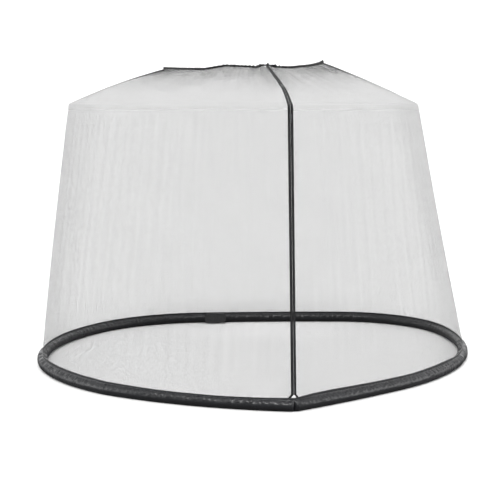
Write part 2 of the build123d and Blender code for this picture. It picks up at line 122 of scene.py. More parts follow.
TAPE_HALF = 0.018               # the zip's tapes, from the zip's middle line
RIM_TAPE_HALF = 0.010           # the same at the rim, where they are narrower
DOOR_GAP = 0.004                # the door panels' gap at their hinge seams in the frame
AXIS = np.array(MOUNTS["parasol_drape"]["pos_m"][:2])
CORD_Z = MOUNTS["parasol_drape"]["pos_m"][2]
FOOT_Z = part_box("sleeve_rear")[1].z
SHOULDER_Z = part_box("wall_net_rear")[1].z
RIM_LOW_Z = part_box("hem_casing")[0].z
SHOULDER_R = fitted_arc(plan_at("wall_net_rear", SHOULDER_Z))[1]
RIM_R = np.hypot(*(vertices("drawstring")[:, :2] - AXIS).T).mean()
SLOPE = math.atan2(RIM_LOW_Z - SHOULDER_Z, SHOULDER_R - RIM_R)
ROOF_LENGTH = (SHOULDER_R - RIM_R) / math.cos(SLOPE)
HEAD_FOOT_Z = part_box("wall_tape_left")[1].z + 0.001
TAPE_FOOT_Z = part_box("wall_tape_left")[0].z
TEETH_FOOT_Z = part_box("wall_teeth_left")[0].z

ARCS = {name: fitted_arc(plan_at("wall_net_" + name, FOOT_Z)) for name in FIXED}
for name, trims in (("door_left", (TAPE_HALF, DOOR_GAP)), ("door_right", (DOOR_GAP, TAPE_HALF))):
    centre, radius, first, last = fitted_arc(plan_at("wall_net_" + name, FOOT_Z))
    ARCS[name] = (centre, radius, first + trims[0] / radius, last - trims[1] / radius)


def zip_middle(z):
    """The zip's middle line over the roof at one of the frame's levels, as a direction."""
    points = np.concatenate([plan_at("roof_teeth_" + side, z) for side in SIDES])
    return direction(points.mean(0), AXIS)


KNEE_Z = np.median(vertices("roof_teeth_left")[:, 2])
ZIP_TOP_ANGLE, ZIP_KNEE_ANGLE, ZIP_RIM_ANGLE = map(zip_middle, (SHOULDER_Z, KNEE_Z, RIM_LOW_Z))


def arc_length(name):
    _, radius, first, last = ARCS[name]
    return radius * (first - last)


def top_angles(name):
    """Directions from the net's axis of a wall panel's upper corners, going clockwise."""
    centre, radius, *ends = ARCS[name]
    first, last = (direction(around(centre, radius, end), AXIS) for end in ends)
    first = ZIP_TOP_ANGLE if name == "door_left" else first
    last = ZIP_TOP_ANGLE if name == "door_right" else last
    return first, last if last < first else last - FULL_TURN


# ---- meshes -----------------------------------------------------------------------------------
def smooth_noise(*axes, seed):
    """Soft noise from -1 to 1 over one or two coordinates of the same shape."""
    axes = np.broadcast_arrays(*axes)
    flat = [axis.ravel() for axis in axes] + [np.full(axes[0].size, 7.3)] * (2 - len(axes))
    values = [noise.noise(Vector((a, b, 11.7 * seed + 0.37))) for a, b in zip(*flat)]
    return np.array(values).reshape(axes[0].shape)


def smooth_step(low, high, value):
    share = np.clip((value - low) / (high - low), 0, 1)
    return share * share * (3 - 2 * share)


def finish_mesh(name, mesh, material, solid):
    mesh.materials.append(material)
    mesh.polygons.foreach_set("use_smooth", [True] * len(mesh.polygons))
    if solid:
        work = bmesh.new()
        work.from_mesh(mesh)
        bmesh.ops.recalc_face_normals(work, faces=work.faces)
        work.to_mesh(mesh)
        work.free()
    piece = bpy.data.objects.new(name, mesh)
    bpy.context.scene.collection.objects.link(piece)
    return piece


def sheet_mesh(name, points, across, along, material, ring=False, loop=False, caps=False):
    """A smooth mesh from points[i, j]: i runs along it and j across it, with UVs in metres.
    ring joins the last j to the first, loop the last i to the first, and caps close the ends."""
    rows, cols = points.shape[:2]
    last_row = rows if loop else rows - 1
    last_col = cols if ring else cols - 1
    i, j = np.meshgrid(np.arange(last_row), np.arange(last_col), indexing="ij")
    corners = [(i, j), (i, j + 1), (i + 1, j + 1), (i + 1, j)]
    faces = np.stack([(a % rows) * cols + b % cols for a, b in corners], -1).reshape(-1, 4).tolist()
    uv = np.stack([np.stack([across[a, b], along[a, b]], -1) for a, b in corners], -2).reshape(-1, 2)
    if caps:
        faces += [list(range(cols)), list(range((rows - 1) * cols, rows * cols))]
        ends = [np.c_[across[end, :cols], along[end, :cols]] for end in (0, -1)]
        uv = np.concatenate([uv, *ends])
    mesh = bpy.data.meshes.new(name)
    mesh.from_pydata(points.reshape(-1, 3).tolist(), [], faces)
    mesh.uv_layers.new(name="metres").data.foreach_set("uv", uv.ravel())
    return finish_mesh(name, mesh, material, solid=ring)


def lengths(points, closed):
    """Distance along a line of points, with one more value past the end where it is closed."""
    line = np.concatenate([points, points[:1]]) if closed else points
    return np.concatenate([[0], np.cumsum(np.linalg.norm(np.diff(line, axis=0), axis=1))])


def sweep(name, path, radius, material, sides=12, closed=False):
    """A round cord along a path; its ends are closed, and its frame doesn't twist."""
    after, before = np.roll(path, -1, 0), np.roll(path, 1, 0)
    if not closed:
        after[-1], before[0] = path[-1], path[0]
    tangents = after - before
    tangents /= np.linalg.norm(tangents, axis=1)[:, None]
    normal = np.cross(tangents[0], (0.3, 0.2, 1.0))
    turn = np.arange(sides) / sides * FULL_TURN
    rings = []
    for point, tangent in zip(path, tangents):
        normal = normal - tangent * (normal @ tangent)
        normal /= np.linalg.norm(normal)
        side = np.cross(tangent, normal)
        rings.append(point + radius * (np.cos(turn)[:, None] * normal + np.sin(turn)[:, None] * side))
    along = np.repeat(lengths(path, closed)[:, None], sides + 1, 1)
    across = np.tile(np.arange(sides + 1) / sides * FULL_TURN * radius, (len(along), 1))
    return sheet_mesh(name, np.array(rings), across, along, material,
                      ring=True, loop=closed, caps=not closed)


# ---- materials --------------------------------------------------------------------------------
def node(tree, kind, inputs=(), **settings):
    made = tree.nodes.new("ShaderNode" + kind)
    for key, value in settings.items():
        setattr(made, key, value)
    for key, value in dict(inputs).items():
        if isinstance(value, bpy.types.NodeSocket):
            tree.links.new(value, made.inputs[key])
        else:
            made.inputs[key].default_value = value
    return made


def calc(tree, operation, *values, clamp=False):
    return node(tree, "Math", enumerate(values), operation=operation, use_clamp=clamp).outputs[0]


def stepped(tree, value, low, high, start=0.0, end=1.0):
    inputs = {"Value": value, "From Min": low, "From Max": high, "To Min": start, "To Max": end}
    return node(tree, "MapRange", inputs, interpolation_type="SMOOTHSTEP").outputs[0]


def new_material(name, colour, roughness, **sockets):
    made = bpy.data.materials.new(name)
    made.use_nodes = True
    tree = made.node_tree
    shader = tree.nodes["Principled BSDF"]
    shader.inputs["Base Color"].default_value = (*colour, 1)
    shader.inputs["Roughness"].default_value = roughness
    for key, value in sockets.items():
        shader.inputs[key.replace("_", " ")].default_value = value
    return made, tree, shader


def metres_uv(tree):
    split = node(tree, "SeparateXYZ", {"Vector": node(tree, "UVMap", uv_map="metres").outputs[0]})
    return split.outputs[0], split.outputs[1]


def object_noise(tree, scale, detail=3.0):
    place = node(tree, "TexCoord").outputs["Object"]
    return node(tree, "TexNoise", {"Vector": place, "Scale": scale, "Detail": detail}).outputs[0]


def wave(tree, value, pitch):
    """A cosine from -1 to 1 that repeats every pitch metres."""
    return calc(tree, "COSINE", calc(tree, "MULTIPLY", value, FULL_TURN / pitch))


def scaled(colour, factor):
    return tuple(value * factor for value in colour)


def tint(tree, shader, share, first, second):
    mixed = node(tree, "Mix", {0: share, 6: (*first, 1), 7: (*second, 1)}, data_type="RGBA")
    tree.links.new(mixed.outputs[2], shader.inputs["Base Color"])
    return mixed


def raise_by(tree, shader, height, distance, strength=1.0):
    bump = node(tree, "Bump", {"Height": height, "Distance": distance, "Strength": strength})
    before = shader.inputs["Normal"].links
    if before:
        tree.links.new(before[0].from_socket, bump.inputs["Normal"])
    tree.links.new(bump.outputs[0], shader.inputs["Normal"])


MESH_PITCH = 0.0018             # the netting's knitted holes, across their flats
OPEN_COVER = 0.290              # the share of the plain netting that is thread


def thread_half_width(cover):
    """Half a thread's width, in pitches, where the threads take that share of the netting."""
    return (1 - np.sqrt(1 - cover)) / 2


def netting(name):
    """Knitted mesh with six-sided holes; the attribute thread says how wide the threads lie."""
    made, tree, shader = new_material(name, (0.010, 0.010, 0.0105), 0.7, Specular_IOR_Level=0.1)
    place = node(tree, "UVMap", uv_map="metres").outputs[0]
    size = (MESH_PITCH, MESH_PITCH * math.sqrt(3), 1.0)
    half = tuple(value / 2 for value in size)
    cells = []
    for shift in ((0, 0, 0), (*half[:2], 0)):
        moved = node(tree, "VectorMath", {0: place, 1: shift}, operation="ADD").outputs[0]
        limits = {0: moved, 1: half, 2: tuple(-value for value in half)}
        cells.append(node(tree, "VectorMath", limits, operation="WRAP").outputs[0])
    far = [node(tree, "VectorMath", {0: cell}, operation="LENGTH").outputs["Value"] for cell in cells]
    nearer = calc(tree, "LESS_THAN", far[1], far[0])
    cell = node(tree, "Mix", {0: nearer, 4: cells[0], 5: cells[1]}, data_type="VECTOR").outputs[1]
    cell = node(tree, "VectorMath", {0: cell}, operation="ABSOLUTE").outputs[0]
    split = node(tree, "SeparateXYZ", {"Vector": cell})
    slanted = calc(tree, "ADD", calc(tree, "MULTIPLY", split.outputs[0], 0.5),
                   calc(tree, "MULTIPLY", split.outputs[1], math.sqrt(3) / 2))
    edge = calc(tree, "DIVIDE", calc(tree, "MAXIMUM", split.outputs[0], slanted), MESH_PITCH)
    width = node(tree, "Attribute", attribute_name="thread").outputs["Fac"]
    inner = calc(tree, "SUBTRACT", 0.5, calc(tree, "MULTIPLY", width, 1.15))
    outer = calc(tree, "SUBTRACT", 0.5, calc(tree, "MULTIPLY", width, 0.85))
    thread = stepped(tree, edge, inner, outer)
    tree.links.new(thread, shader.inputs["Alpha"])
    raise_by(tree, shader, stepped(tree, edge, outer, 0.5), 0.0001)
    return made


STITCH_LENGTH = 0.004


def stitched(tree, shader, ground, thread, rows, across, along):
    """Rows of lockstitch in thread of one colour, at the given distances across the cloth."""
    seam = node(tree, "Mix", {0: 0.0, 6: ground.outputs[2], 7: (*thread, 1)}, data_type="RGBA")
    tree.links.new(seam.outputs[2], shader.inputs["Base Color"])
    mask = 0.0
    for row in rows:
        off = calc(tree, "ABSOLUTE", calc(tree, "SUBTRACT", across, row))
        line = stepped(tree, off, 0.0004, 0.0007, 1.0, 0.0)
        mask = calc(tree, "MAXIMUM", mask, line)
    dash = stepped(tree, wave(tree, along, STITCH_LENGTH), -0.6, -0.3)
    mask = calc(tree, "MULTIPLY", mask, dash)
    tree.links.new(mask, seam.inputs[0])
    raise_by(tree, shader, mask, 0.0006)


def woven(name, colour, roughness, pitch, stitches=(), crinkle=0.0008, **sockets):
    """Plain weave with painted shade in its hollows, over a cloth with small creases, and thread stitches along
    its seams.
    """
    made, tree, shader = new_material(name, colour, roughness, **sockets)
    across, along = metres_uv(tree)
    weave = calc(tree, "MULTIPLY", wave(tree, across, pitch), wave(tree, along, pitch))
    weave = calc(tree, "MULTIPLY_ADD", weave, 0.5, 0.5)
    creases = object_noise(tree, 55.0, 4.0)
    broad = stepped(tree, object_noise(tree, 9.0, 2.0), 0.3, 0.7)
    # The weave's crossings are painted lighter and its hollows darker (painted shade), mixed with broad random
    # tone.
    weave_shade_and_tone = calc(tree, "ADD", calc(tree, "MULTIPLY", weave, 0.35), calc(tree, "MULTIPLY", broad, 0.65))
    ground = tint(tree, shader, weave_shade_and_tone, scaled(colour, 0.7), scaled(colour, 1.35))
    rough = calc(tree, "MULTIPLY_ADD", creases, 0.22, roughness - 0.11)
    tree.links.new(rough, shader.inputs["Roughness"])
    raise_by(tree, shader, creases, crinkle)
    raise_by(tree, shader, weave, pitch * 0.12, 0.5)
    if stitches:
        stitched(tree, shader, ground, (0.16, 0.16, 0.165), stitches, across, along)
    return made


def twill(name, colour, stitches):
    """Herringbone tape with painted shade in the grooves between its ribs, and stitches along its edge."""
    made, tree, shader = new_material(name, colour, 0.7, Specular_IOR_Level=0.2)
    across, along = metres_uv(tree)
    slant = calc(tree, "PINGPONG", across, 0.0024)
    rib = wave(tree, calc(tree, "ADD", slant, along), 0.0011)
    rib = calc(tree, "MULTIPLY_ADD", rib, 0.5, 0.5)
    # The ribs' crests are painted lighter and the grooves between them darker: painted shade.
    ground = tint(tree, shader, rib, scaled(colour, 0.75), scaled(colour, 1.25))
    raise_by(tree, shader, rib, 0.00015)
    stitched(tree, shader, ground, (0.1, 0.1, 0.105), stitches, across, along)
    return made


def braided(name, colour):
    """Cord of crossing strands, with painted shade in the hollows between them."""
    made, tree, shader = new_material(name, colour, 0.6, Sheen_Weight=0.5, Sheen_Roughness=0.4)
    across, along = metres_uv(tree)
    strands = [wave(tree, calc(tree, sign, along, calc(tree, "MULTIPLY", across, 0.6)), 0.0016)
               for sign in ("ADD", "SUBTRACT")]
    height = calc(tree, "MULTIPLY_ADD", calc(tree, "MULTIPLY", *strands), 0.5, 0.5)
    # The strands' crests are painted lighter and the hollows between them darker: painted shade.
    tint(tree, shader, height, scaled(colour, 0.5), scaled(colour, 1.6))
    raise_by(tree, shader, height, 0.0004)
    return made


def moulded(name, colour, roughness, grain=900.0, worn=0.0, **sockets):
    """Moulded plastic or lacquered metal: fine grain, uneven gloss, and paler worn patches."""
    made, tree, shader = new_material(name, colour, roughness, **sockets)
    fine = object_noise(tree, grain, 2.0)
    broad = object_noise(tree, 60.0, 4.0)
    wear = stepped(tree, broad, 0.55, 0.72, 0.0, worn)
    tint(tree, shader, wear, colour, tuple(min(1.0, value * 2.5 + 0.05) for value in colour))
    gloss = calc(tree, "MULTIPLY_ADD", broad, 0.2, roughness - 0.1)
    tree.links.new(gloss, shader.inputs["Roughness"])
    raise_by(tree, shader, fine, 0.00008)
    return made


NETTING = netting("netting")
SLEEVE_CLOTH = woven("coated polyester", (0.008, 0.0085, 0.0105), 0.38, 0.0009,
                     stitches=(0.004, 0.0125))
FLAP_CLOTH = woven("flap polyester", (0.010, 0.0103, 0.011), 0.62, 0.0009,
                   crinkle=0.0005, Specular_IOR_Level=0.3)
HEM_CLOTH = woven("hem binding", (0.012, 0.012, 0.0125), 0.7, 0.0007,
                  stitches=(0.009,), crinkle=0.0004)
ZIP_TAPE = twill("zip tape", (0.010, 0.010, 0.0105), stitches=(0.0085, 0.0105))
ZIP_TEETH = moulded("zip teeth", (0.012, 0.012, 0.0125), 0.4, worn=0.1)
SLIDER_METAL = moulded("slider metal", (0.12, 0.12, 0.124), 0.36,
                       grain=1500.0, worn=0.5, Metallic=0.85)
BLACK_PLASTIC = moulded("satin plastic", (0.02, 0.02, 0.021), 0.42, worn=0.15)
TUBE_FILM = moulded("tube film", (0.20, 0.22, 0.25), 0.22, grain=300.0, Coat_Weight=0.4)
CORD = braided("braided cord", (0.025, 0.025, 0.026))
SPRING_WIRE = moulded("spring wire", (0.6, 0.6, 0.6), 0.25, grain=2500.0, Metallic=1.0)


# ---- the wall's netting -----------------------------------------------------------------------
def columns(names, step, near=0.0, far=0.0):
    """Lines up the wall along some stretches: foot and shoulder plan points, the outward
    direction at both, and the distance along the foot. near and far are left off at the ends."""
    rows, start = [], 0.0
    for index, name in enumerate(names):
        centre, radius, first, last = ARCS[name]
        top_first, top_last = top_angles(name)
        length = arc_length(name)
        low = near / length if index == 0 else 0.0
        high = 1 - far / length if index == len(names) - 1 else 1.0
        share = np.linspace(low, high, max(2, round(length / step)) + 1)[1 if index else 0:]
        angle = first + (last - first) * share
        top_angle = top_first + (top_last - top_first) * share
        rows.append(np.c_[around(centre, radius, angle), around(AXIS, SHOULDER_R, top_angle),
                          np.cos(angle), np.sin(angle), np.cos(top_angle), np.sin(top_angle),
                          start + share * length])
        start += length
    foot, top, out_foot, out_top, along = np.split(np.concatenate(rows), [2, 4, 6, 8], axis=1)
    return foot, top, out_foot, out_top, along[:, 0]


def wall_points(foot, top, out_foot, out_top, rise, proud):
    """Points of the wall: rise runs up from the foot (0) to the shoulder (1), proud is outward."""
    foot, top, out_foot, out_top = (value[:, None] for value in (foot, top, out_foot, out_top))
    share = rise[None, :, None]
    plan = foot + share * (top - foot) + (out_foot + share * (out_top - out_foot)) * proud[..., None]
    height = np.broadcast_to(FOOT_Z + rise * (SHOULDER_Z - FOOT_Z), plan.shape[:2])
    return np.concatenate([plan, height[..., None]], -1)


def seam_ruffle(along):
    """How far the sewn seam over the sleeve waves outward, so that netting and sleeve agree."""
    return 0.0016 * smooth_noise(along / 0.045, seed=3) + 0.0012 * smooth_noise(along / 0.02, seed=4)


def at_sides(out):
    """How far round towards its left and right sides the wall is, from 0 to 1."""
    return smooth_step(0.86, 0.955, abs(out[:, :1]))


def wall_folds(along, rise, sides, ends):
    """Soft upright folds that fade out at the shoulder, at the foot and at the ends given."""
    along, rise = along[:, None], rise[None, :]
    drift = smooth_noise(along / 0.5, rise * 1.2, seed=1)
    fine_drift = smooth_noise(along / 0.3, rise * 1.6, seed=2)
    folds = 0.0030 * np.sin(FULL_TURN * along / 0.118 + 4.5 * drift)
    folds += 0.0016 * np.sin(FULL_TURN * along / 0.071 + 5.0 * fine_drift)
    folds *= 0.6 - 0.2 * sides + 0.3 * smooth_noise(along / 0.8, rise * 0.7, seed=5)
    folds *= smooth_step(0.0, 0.16, rise) * smooth_step(1.0, 0.88, rise)
    for end in ends:
        folds = folds * smooth_step(0.004, 0.09, abs(along - end))
    return folds + seam_ruffle(along) * smooth_step(0.06, 0.0, rise)


def slack(points_out, rise):
    """The left of the wall hangs a little fuller than a straight line from shoulder to foot."""
    inside = np.clip(rise, 0.001, 0.999)
    fullness = 0.008 * np.sin(math.pi * inside**0.8) ** 1.3
    return np.clip(-points_out[:, :1], 0, 1) ** 2 * fullness[None, :]


def thread_attribute(piece, widths):
    made = piece.data.attributes.new("thread", "FLOAT", "POINT")
    made.data.foreach_set("value", widths.astype(np.float32).ravel())


def wall_net(name, names, near=0.0, far=0.0, ends=()):
    foot, top, out_foot, out_top, along = columns(names, 0.0125, near, far)
    rise = np.linspace(-0.006, 1.0, 46)
    sides = at_sides(out_top)
    proud = wall_folds(along, rise, sides, ends) + slack(out_top, rise)
    points = wall_points(foot, top, out_foot, out_top, rise, proud)
    up = rise * np.linalg.norm([SHOULDER_Z - FOOT_Z, np.hypot(*(foot - top).T).mean()])
    across, height = np.meshgrid(along, up, indexing="ij")
    piece = sheet_mesh(name, points, across, height, NETTING)
    streaks = 0.5 + 0.5 * smooth_noise(along[:, None] / 0.06, rise[None, :] * 0.6, seed=6)
    cover = OPEN_COVER * (1 + sides * (0.08 + 0.22 * streaks))
    thread_attribute(piece, thread_half_width(cover))
    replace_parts(piece, *["wall_net_" + stretch for stretch in names])
    shoulder = np.linalg.norm(np.diff(top, axis=0), axis=1).sum()
    return piece


# ---- the roof's netting and its hem -----------------------------------------------------------
def zip_angle(rise):
    """Direction of the zip's middle line on the roof: two runs that meet at its knee."""
    knee = (KNEE_Z - SHOULDER_Z) / (RIM_LOW_Z - SHOULDER_Z)
    return np.interp(rise, [0, knee, 1], [ZIP_TOP_ANGLE, ZIP_KNEE_ANGLE, ZIP_RIM_ANGLE])


RIM_LEVELS = np.array([         # how high the open rim stands: direction in degrees, and millimetres
    (-180, -14), (-161, -17), (-139, -25), (-118, -28), (-112, -18), (-103, -4), (-97, -6), (-88, -10),
    (-80, -14), (-77.5, 0), (-69.5, 0), (-66, -12), (-55, -17), (-40, -4), (-25, 10), (-12, 26), (0, 38)])
RIM_TILT = 0.0325               # how steeply the rim rises towards the back of the net


def rim_lift(angle):
    """The open rim isn't level: its right end and a spot left of the zip stand higher, and its
    back half mirrors the front half and tilts up."""
    angle = (angle + math.pi) % FULL_TURN - math.pi
    lift = np.interp(-abs(np.degrees(angle)), *RIM_LEVELS.T) / 1000
    return lift + RIM_TILT * RIM_R * np.maximum(np.sin(angle), 0)


def rim_gathers(angle, rise):
    """Folds that run up the roof and close up at the drawstring, with finer ones near the hem."""
    long = np.sin(angle * 58 + 3.0 * smooth_noise(angle * 3, rise * 1.5, seed=12))
    fine = np.sin(angle * 137 + 4.0 * smooth_noise(angle * 6, rise * 3.0, seed=13))
    uneven = 0.6 + 0.6 * smooth_noise(angle * 2.2, rise * 0, seed=14)
    return uneven * (long * 0.0055 * rise**1.6 + fine * 0.0030 * smooth_step(0.45, 1.0, rise))


def roof_frame(angle, rise, proud):
    """Points on the roof at a direction and a share of the way up, standing proud of the cone."""
    reach = SHOULDER_R - rise * ROOF_LENGTH * math.cos(SLOPE) + proud * math.sin(SLOPE)
    height = SHOULDER_Z + rise * ROOF_LENGTH * math.sin(SLOPE) + proud * math.cos(SLOPE)
    return np.concatenate([around(AXIS, reach, angle), height[..., None]], -1)


HEM_GAP = 0.030                 # half the gap in the hem, where the cord lock sits
HEM_TUCK = 0.006                # how far the netting's edge goes up inside the hem
TAPE_LAP = 0.002                # how far the netting reaches in over the zip's tapes


def roof_net():
    """The whole roof, from one side of the zip round to the other. Its last row of points goes
    straight up inside the hem, except in the hem's gap."""
    share = np.linspace(0, 1, 1001)[:, None]
    rise = np.append(np.linspace(0, 1, 34), 1.0)[None, :]
    is_last_row = np.arange(rise.size) == rise.size - 1
    from_zip = np.minimum(share, 1 - share) * FULL_TURN
    gap = from_zip * RIM_R / HEM_GAP
    collar = HEM_TUCK * is_last_row * smooth_step(1.0, 1.1, gap)
    radius = SHOULDER_R - rise * (SHOULDER_R - RIM_R)
    tape = (TAPE_HALF + (RIM_TAPE_HALF - TAPE_HALF) * rise - TAPE_LAP) / radius
    drift = (zip_angle(rise) - ZIP_TOP_ANGLE) * (1 - 2 * share) ** 4
    angle = ZIP_TOP_ANGLE + drift - tape - share * (FULL_TURN - 2 * tape)
    gathers = rim_gathers(angle, rise) * smooth_step(1.0, 2.5, gap)
    gathers += 0.016 * np.sin(math.pi * rise) * np.cos(angle) ** 4
    lift = rim_lift(angle) * rise**1.5
    points = roof_frame(angle, np.broadcast_to(rise, angle.shape), gathers)
    points[..., 2] += lift + collar
    across = SHOULDER_R * (FULL_TURN * share) + 0 * rise
    along = ROOF_LENGTH * rise + collar + 0 * share
    piece = sheet_mesh("roof_netting", points, across, along, NETTING)
    # Gathered netting lies closer: in streaks towards the hem, beside the zip, and at both sides.
    streaks = (0.5 + 0.9 * smooth_noise(angle * 11 + rise * 4.0, rise * 1.2, seed=15)).clip(0, 1)
    patches = (0.5 + 0.8 * smooth_noise(angle * 3.5, rise * 1.0, seed=16)).clip(0, 1)
    drawn = 0.12 * smooth_step(0.2, 0.55, rise) + 0.60 * smooth_step(0.45, 1.15, rise)
    crowd = drawn * (0.25 + 0.9 * streaks + 0.6 * patches)
    crowd += 0.45 * smooth_step(0.16, 0.02, from_zip) * smooth_step(0.3, 0.7, rise)
    crowd += 0.35 * smooth_step(0.965, 0.999, abs(np.cos(angle))) * smooth_step(1.0, 0.8, rise)
    thread_attribute(piece, thread_half_width(OPEN_COVER * (1 + crowd)))
    gores = ["roof_net_" + name for name in FIXED + ["front_left", "front_right"]]
    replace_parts(piece, *gores)
    return piece


HEM_HALF_HEIGHT = 0.0078
HEM_HALF_DEPTH = 0.0035
HEM_GIRTH = 0.038


def hem():
    """The gathered casing that the drawstring runs in."""
    gap = HEM_GAP / RIM_R
    angle = ZIP_RIM_ANGLE - np.linspace(gap, FULL_TURN - gap, 1300)
    sides = 18
    turn = np.arange(sides) / sides * FULL_TURN
    # Puckers, deeper at the right front.
    right_front = smooth_step(0.2, 0.9, np.cos(angle + math.radians(35)))
    pucker = 0.0011 + 0.0022 * right_front
    puff = pucker * np.sin(angle * 137 + 4.0 * smooth_noise(angle * 6, angle * 0 + 3, seed=13))
    puff += 0.0012 * smooth_noise(angle * 40, seed=18)
    taper = 0.012 / RIM_R
    open_ends = [smooth_step(0.0, taper, abs(angle - end)) for end in (angle[0], angle[-1])]
    closed = 0.45 + 0.55 * (open_ends[0] * open_ends[1])
    gathers = rim_gathers(angle, 1.0 + 0 * angle)
    out = (HEM_HALF_DEPTH + 0.5 * puff[:, None]) * np.cos(turn) * closed[:, None]
    out += 0.4 * gathers[:, None] * closed[:, None]
    tall = (HEM_HALF_HEIGHT + puff[:, None]) * np.sin(turn) * closed[:, None]
    wander = 0.0020 * smooth_noise(angle * 30, seed=19) + 0.9 * puff
    centre_z = CORD_Z + rim_lift(angle) + wander * (closed - 0.45)
    plan = around(AXIS, RIM_R + out, angle[:, None])
    points = np.concatenate([plan, (centre_z[:, None] + tall)[..., None]], -1)
    across = np.tile(np.arange(sides + 1) / sides * HEM_GIRTH, (len(angle), 1))
    along = np.repeat((RIM_R * (angle[0] - angle))[:, None], sides + 1, 1)
    piece = sheet_mesh("drawstring_hem", points, across, along, HEM_CLOTH, ring=True, caps=True)
    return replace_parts(piece, "hem_casing")


def drawstring():
    angle = np.linspace(0, FULL_TURN, 721)[:-1]
    path = np.c_[around(AXIS, RIM_R, angle), CORD_Z + rim_lift(angle)]
    piece = sweep("drawstring_cord", path, 0.002, CORD, closed=True)
    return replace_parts(piece, "drawstring")


def knot():
    """The drawstring's ends tied beside the cord lock, with two short tails."""
    low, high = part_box("drawstring_knot")
    middle = np.array((low + high) / 2)
    angle = direction(middle[:2], AXIS)
    out = np.array((math.cos(angle), math.sin(angle), 0))
    forward = np.array((-math.sin(angle), math.cos(angle), 0))
    up = np.array((0, 0, 1.0))
    t = np.linspace(0, FULL_TURN, 97)[:-1]
    small = 0.00135
    path = (np.outer(small * (np.sin(t) + 2 * np.sin(2 * t)), out)
            + np.outer(small * (np.cos(t) - 2 * np.cos(2 * t)), up)
            - np.outer(0.0020 * np.sin(3 * t), forward))
    tied = sweep("drawstring_knot_tied", middle + path, 0.0016, CORD, closed=True)
    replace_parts(tied, "drawstring_knot")
    tails = []
    s = np.linspace(0, 1, 14)[:, None]
    for letter, sign in (("a", -1), ("b", 1)):
        line = middle + sign * forward * (0.002 + 0.004 * s)
        line = line + out * (0.004 + 0.009 * np.sin(2.2 * s)) - up * 0.020 * s**1.4
        tails.append(sweep("drawstring_tail_" + letter, line, 0.0015, CORD))
    return [tied, *tails]


# ---- the base sleeve --------------------------------------------------------------------------
SEAM_LOW = 0.074                # the sewn seam stands above the pocket
SEAM_HALF = 0.0016
POCKET_HALF = 0.0362            # the round pocket that holds the water tube
POCKET_MIDDLE_Z = 0.0355


def sleeve_section():
    """Half of the sleeve's section from the seam's top down the outside to the ground: sideways
    offset, height, and distance along the cloth. Above the tube the cloth runs to the seam."""
    rise = SEAM_LOW - POCKET_MIDDLE_Z
    lean = math.acos(POCKET_HALF / math.hypot(rise, SEAM_HALF)) if rise > POCKET_HALF else 0.0
    turn = np.linspace(math.pi / 2 - lean - 0.42, -math.pi / 2, 17)
    round_part = np.c_[POCKET_HALF * np.cos(turn), POCKET_MIDDLE_Z + POCKET_HALF * np.sin(turn)]
    round_part[:, 1] = np.maximum(round_part[:, 1], 0.0)
    slope_part = np.linspace((SEAM_HALF, SEAM_LOW), round_part[0], 7)[:-1]
    seam_part = np.linspace((SEAM_HALF * 0.8, FOOT_Z), (SEAM_HALF, SEAM_LOW), 5)[:-1]
    half = np.concatenate([seam_part, slope_part, round_part])
    return half, lengths(half, False)


def sleeve_wrinkles(along, down, crumpled):
    """Creases that fan down from the seam, ribs round the bends, and soft ones over the tube."""
    puckers = smooth_noise(along / 0.021 + down * 20, down * 11, seed=21)
    creases = 1 - 3 * abs(smooth_noise(along / 0.045 - down * 26, down * 16, seed=22))
    upper = smooth_step(0.010, 0.024, down) * smooth_step(0.066, 0.046, down)
    fan = (0.0046 * puckers + 0.0030 * creases) * upper
    over_tube = smooth_step(0.048, 0.062, down)
    soft = 0.0008 * smooth_noise(along / 0.07, down * 25, seed=23) * over_tube
    ribs = 1 - 3.6 * abs(smooth_noise(along / 0.022 + down * 5, down * 7, seed=24))
    reach = smooth_step(0.010, 0.03, down) * smooth_step(0.135, 0.09, down)
    return (fan * (1 + 0.4 * crumpled) + soft + 0.0055 * ribs * crumpled * reach).clip(-0.0024, 0.006)


def sleeve_crumpling(plan):
    """The sleeve is crumpled where the ring bends hardest, at its far left and right."""
    return smooth_step(1.12, 1.60, abs(plan[:, 0])) * smooth_step(0.5, -0.1, plan[:, 1])


SEAM_LEVELS = np.array([        # how much higher the front's seam is sewn: metres across, millimetres
    (-1.60, 12), (-1.40, 12), (-1.16, 7), (-1.04, 2), (-0.92, 0), (-0.69, -6), (-0.26, -9), (0.05, -5),
    (0.20, 0), (0.25, 0), (0.34, 9), (0.48, 13), (0.66, 10), (0.83, 7), (1.09, 6), (1.27, 12), (1.60, 14)])


def seam_lift(plan):
    lift = np.interp(plan[:, 0], *SEAM_LEVELS.T) / 1000
    return lift * smooth_step(-0.25, -0.6, plan[:, 1])


